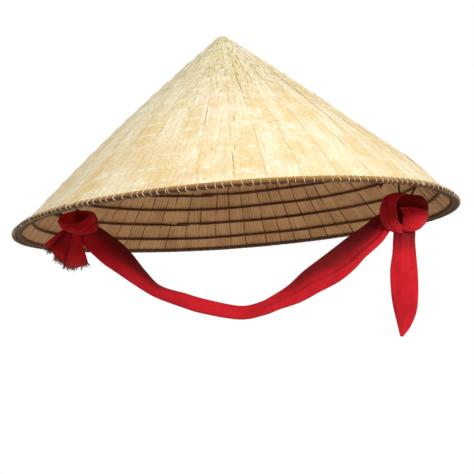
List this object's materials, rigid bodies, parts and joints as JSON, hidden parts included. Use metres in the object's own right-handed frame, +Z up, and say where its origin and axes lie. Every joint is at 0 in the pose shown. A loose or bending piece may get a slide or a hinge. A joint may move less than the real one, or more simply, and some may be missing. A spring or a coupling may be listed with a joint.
{
  "type": "conical palm-leaf hat",
  "caption": "Conical sun hat of palm-leaf strips sewn over bamboo hoops, with a thread-bound brim and a knotted cotton chin strap that swings from two thread loops inside.",
  "frame": {"origin": "on the cone's axis inside the hat, where the wearer's crown meets it, 160 mm above the brim plane", "axes": "+Z up along the cone's axis, +X towards the strap's long tail (the picture's right), -Y towards the camera"},
  "size_m": [0.44, 0.44, 0.3142],
  "materials": {
    "outer_palm_leaf": "dry pale straw-coloured palm leaf, fine radial veins, satin",
    "inner_palm_leaf": "dry tan palm leaf with fine radial ribs, matte",
    "hoop_bamboo": "thin dark brown bamboo splints, satin",
    "brim_bamboo": "golden split bamboo, satin",
    "binding_thread": "off-white sewing thread",
    "loop_thread": "doubled black sewing thread",
    "red_cotton": "matte plain-weave red cotton with a frayed end"
  },
  "bodies": {
    "hat": {"outer_leaf_01": "outer_palm_leaf", "outer_leaf_02": "outer_palm_leaf", "outer_leaf_03": "outer_palm_leaf", "outer_leaf_04": "outer_palm_leaf", "outer_leaf_05": "outer_palm_leaf", "outer_leaf_06": "outer_palm_leaf", "outer_leaf_07": "outer_palm_leaf", "outer_leaf_08": "outer_palm_leaf", "outer_leaf_09": "outer_palm_leaf", "outer_leaf_10": "outer_palm_leaf", "outer_leaf_11": "outer_palm_leaf", "outer_leaf_12": "outer_palm_leaf", "outer_leaf_13": "outer_palm_leaf", "outer_leaf_14": "outer_palm_leaf", "outer_leaf_15": "outer_palm_leaf", "outer_leaf_16": "outer_palm_leaf", "outer_leaf_17": "outer_palm_leaf", "outer_leaf_18": "outer_palm_leaf", "outer_leaf_19": "outer_palm_leaf", "outer_leaf_20": "outer_palm_leaf", "inner_leaf_01": "inner_palm_leaf", "inner_leaf_02": "inner_palm_leaf", "inner_leaf_03": "inner_palm_leaf", "inner_leaf_04": "inner_palm_leaf", "inner_leaf_05": "inner_palm_leaf", "inner_leaf_06": "inner_palm_leaf", "inner_leaf_07": "inner_palm_leaf", "inner_leaf_08": "inner_palm_leaf", "inner_leaf_09": "inner_palm_leaf", "inner_leaf_10": "inner_palm_leaf", "inner_leaf_11": "inner_palm_leaf", "inner_leaf_12": "inner_palm_leaf", "bamboo_hoop_01": "hoop_bamboo", "bamboo_hoop_02": "hoop_bamboo", "bamboo_hoop_03": "hoop_bamboo", "bamboo_hoop_04": "hoop_bamboo", "bamboo_hoop_05": "hoop_bamboo", "bamboo_hoop_06": "hoop_bamboo", "bamboo_hoop_07": "hoop_bamboo", "bamboo_hoop_08": "hoop_bamboo", "bamboo_hoop_09": "hoop_bamboo", "bamboo_hoop_10": "hoop_bamboo", "bamboo_hoop_11": "hoop_bamboo", "bamboo_hoop_12": "hoop_bamboo", "bamboo_hoop_13": "hoop_bamboo", "bamboo_hoop_14": "hoop_bamboo", "bamboo_hoop_15": "hoop_bamboo", "bamboo_hoop_16": "hoop_bamboo", "rim_outer_hoop": "brim_bamboo", "rim_binding": "binding_thread", "apex_cap": "outer_palm_leaf", "left_strap_loop": "loop_thread", "right_strap_loop": "loop_thread"},
    "strap": {"chin_strap": "red_cotton", "left_knot": "red_cotton", "right_knot": "red_cotton"},
    "left_tail": {"left_tail": "red_cotton"},
    "right_tail": {"right_tail": "red_cotton"}
  },
  "joints": [
    {"name": "strap_swing", "type": "hinge", "parent": "hat", "child": "strap", "pos_m": [0, 0, -0.14], "axis": [1, 0, 0], "range_deg": [-50, 50]},
    {"name": "left_tail_swing", "type": "hinge", "parent": "strap", "child": "left_tail", "pos_m": [-0.16, 0, -0.162], "axis": [1, 0, 0], "range_deg": [-30, 30]},
    {"name": "right_tail_swing", "type": "hinge", "parent": "strap", "child": "right_tail", "pos_m": [0.164, 0, -0.182], "axis": [1, 0, 0], "range_deg": [-30, 30]}
  ]
}
